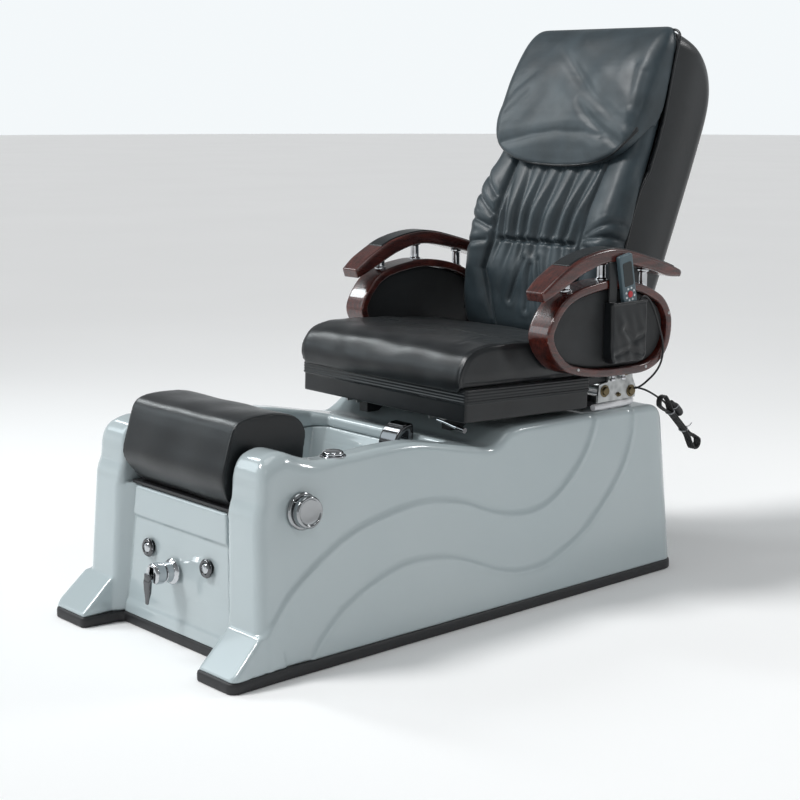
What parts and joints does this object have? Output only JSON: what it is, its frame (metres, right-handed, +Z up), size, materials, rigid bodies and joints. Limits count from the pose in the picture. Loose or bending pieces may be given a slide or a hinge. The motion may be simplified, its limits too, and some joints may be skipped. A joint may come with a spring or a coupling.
{
  "type": "pedicure spa chair",
  "caption": "Foot spa base with a basin, a footrest cushion over its front and a sliding, reclining massage seat with looped wooden arms.",
  "frame": {"origin": "on the floor, under the middle of the bounding box", "axes": "+Z up, +X the sitter's left, -Y the way the sitter faces"},
  "size_m": [0.7436, 1.628, 1.3524],
  "materials": {
    "gelcoat": "white gloss gelcoat over glass fibre",
    "rubber": "matt black",
    "board": "raw board",
    "chrome": "polished",
    "plastic": "moulded black",
    "white_metal": "white powder coat",
    "steel": "black powder coat",
    "zinc": "zinc plated",
    "vinyl": "black upholstery vinyl over foam, soft sheen",
    "wood": "dark mahogany, high gloss lacquer",
    "handset": "blue-grey moulded, satin",
    "red": "red key",
    "cord": "black flexible cord"
  },
  "bodies": {
    "base": {"base_shell": "gelcoat", "rubber_skirt": "rubber", "base_board": "board", "basin_tub": "gelcoat", "drain_body": "chrome", "jet_right": "chrome", "jet_left": "chrome", "spout": "chrome", "front_panel": "gelcoat", "air_bezel_right": "chrome", "air_bezel_left": "chrome", "mixer_body": "chrome", "drain_bezel": "chrome", "circulation_pump": "plastic", "control_box": "plastic", "power_gland": "rubber", "deck_rail": "white_metal", "slide_rail_right": "steel", "slide_rail_left": "steel", "power_cord": "cord", "power_hank": "cord", "power_plug": "plastic"},
    "seat": {"seat_frame": "zinc", "seat_base_box": "vinyl", "seat_cushion": "vinyl", "arm_ring_right": "wood", "arm_ring_left": "wood", "arm_panel_right": "vinyl", "arm_panel_left": "vinyl", "arm_top_right": "wood", "arm_top_left": "wood", "arm_post_front_right": "chrome", "arm_post_middle_right": "chrome", "arm_post_rear_right": "chrome", "arm_post_front_left": "chrome", "arm_post_middle_left": "chrome", "arm_post_rear_left": "chrome", "remote_pocket": "vinyl", "handset_cord": "cord"},
    "backrest": {"back_shell": "vinyl", "back_cushion": "vinyl", "back_frame": "steel"},
    "footrest": {"footrest_base": "plastic", "footrest_cushion": "vinyl"},
    "drain_popup": {"drain_popup": "chrome"},
    "air_button_right": {"air_button_right": "chrome"},
    "air_button_left": {"air_button_left": "chrome"},
    "mixer_cap": {"mixer_cap": "chrome"},
    "mixer_lever": {"mixer_lever": "chrome"},
    "drain_knob": {"drain_knob": "chrome"},
    "rim_air_knob": {"rim_air_knob": "chrome"},
    "slide_lever": {"slide_lever": "chrome"},
    "handset": {"handset": "handset"},
    "handset_key": {"handset_key": "red"},
    "head_flap": {"head_flap": "vinyl"},
    "massage_carriage": {"massage_carriage": "plastic"},
    "kneading_shaft": {"kneading_shaft": "steel"},
    "recline_tube": {"recline_tube": "plastic"},
    "recline_rod": {"recline_rod": "chrome"}
  },
  "joints": [
    {"name": "seat_slide", "type": "slide", "parent": "base", "child": "seat", "axis": [0, -0.9991, 0.0419], "range_m": [0, 0.1]},
    {"name": "backrest_recline", "type": "hinge", "parent": "seat", "child": "backrest", "pos_m": [0, 0.442, 0.52], "axis": [-1, 0, 0], "range_deg": [0, 35]},
    {"name": "head_flap_flip", "type": "hinge", "parent": "backrest", "child": "head_flap", "pos_m": [0, 0.689, 1.347], "axis": [-1, 0, 0], "range_deg": [0, 150]},
    {"name": "massage_climb", "type": "slide", "parent": "backrest", "child": "massage_carriage", "axis": [0, 0.3305, 0.9438], "range_m": [-0.2, 0.25]},
    {"name": "kneading_spin", "type": "hinge", "parent": "massage_carriage", "child": "kneading_shaft", "pos_m": [0, 0.571, 0.9305], "axis": [1, 0, 0], "continuous": true},
    {"name": "recline_tube_swing", "type": "hinge", "parent": "seat", "child": "recline_tube", "pos_m": [0, 0.462, 0.462], "axis": [-1, 0, 0], "range_deg": [0, 32]},
    {"name": "recline_rod_stroke", "type": "slide", "parent": "recline_tube", "child": "recline_rod", "axis": [0, 0.4955, 0.8686], "range_m": [-0.036, 0]},
    {"name": "slide_lever_pull", "type": "hinge", "parent": "seat", "child": "slide_lever", "pos_m": [0.196, -0.0965, 0.448], "axis": [0, 0, -1], "range_deg": [0, 15], "stiffness_Nm_per_rad": 1},
    {"name": "handset_lift", "type": "slide", "parent": "seat", "child": "handset", "axis": [0, -0.1908, 0.9816], "range_m": [0, 0.05]},
    {"name": "handset_key_press", "type": "slide", "parent": "handset", "child": "handset_key", "axis": [-1, 0, 0], "range_m": [0, 0.0012], "stiffness_N_per_m": 400},
    {"name": "footrest_lift", "type": "slide", "parent": "base", "child": "footrest", "axis": [0, 0, 1], "range_m": [0, 0.08]},
    {"name": "mixer_swivel", "type": "hinge", "parent": "base", "child": "mixer_cap", "pos_m": [-0.016, -0.697, 0.16], "axis": [0, -0.9977, 0.0673], "range_deg": [-40, 40]},
    {"name": "mixer_lift", "type": "hinge", "parent": "mixer_cap", "child": "mixer_lever", "pos_m": [-0.016, -0.741, 0.16], "axis": [-1, 0, 0], "range_deg": [0, 22]},
    {"name": "air_button_right_press", "type": "slide", "parent": "base", "child": "air_button_right", "axis": [0, 0.9977, -0.0673], "range_m": [0, 0.004], "stiffness_N_per_m": 500},
    {"name": "air_button_left_press", "type": "slide", "parent": "base", "child": "air_button_left", "axis": [0, 0.9977, -0.0673], "range_m": [0, 0.004], "stiffness_N_per_m": 500},
    {"name": "drain_knob_turn", "type": "hinge", "parent": "base", "child": "drain_knob", "pos_m": [0.3173, -0.595, 0.343], "axis": [0.9972, 0, 0.0748], "range_deg": [0, 90]},
    {"name": "drain_popup_lift", "type": "slide", "parent": "base", "child": "drain_popup", "axis": [0, 0, 1], "range_m": [0, 0.008]},
    {"name": "rim_air_knob_turn", "type": "hinge", "parent": "base", "child": "rim_air_knob", "pos_m": [0.271, -0.475, 0.44], "axis": [0, 0, 1], "range_deg": [0, 180]}
  ],
  "couplings": [
    {"joint": "recline_tube_swing", "follows": "backrest_recline", "ratio": 0.86},
    {"joint": "recline_rod_stroke", "follows": "backrest_recline", "m_per_rad": -0.0543},
    {"joint": "drain_popup_lift", "follows": "drain_knob_turn", "m_per_rad": 0.00509}
  ]
}
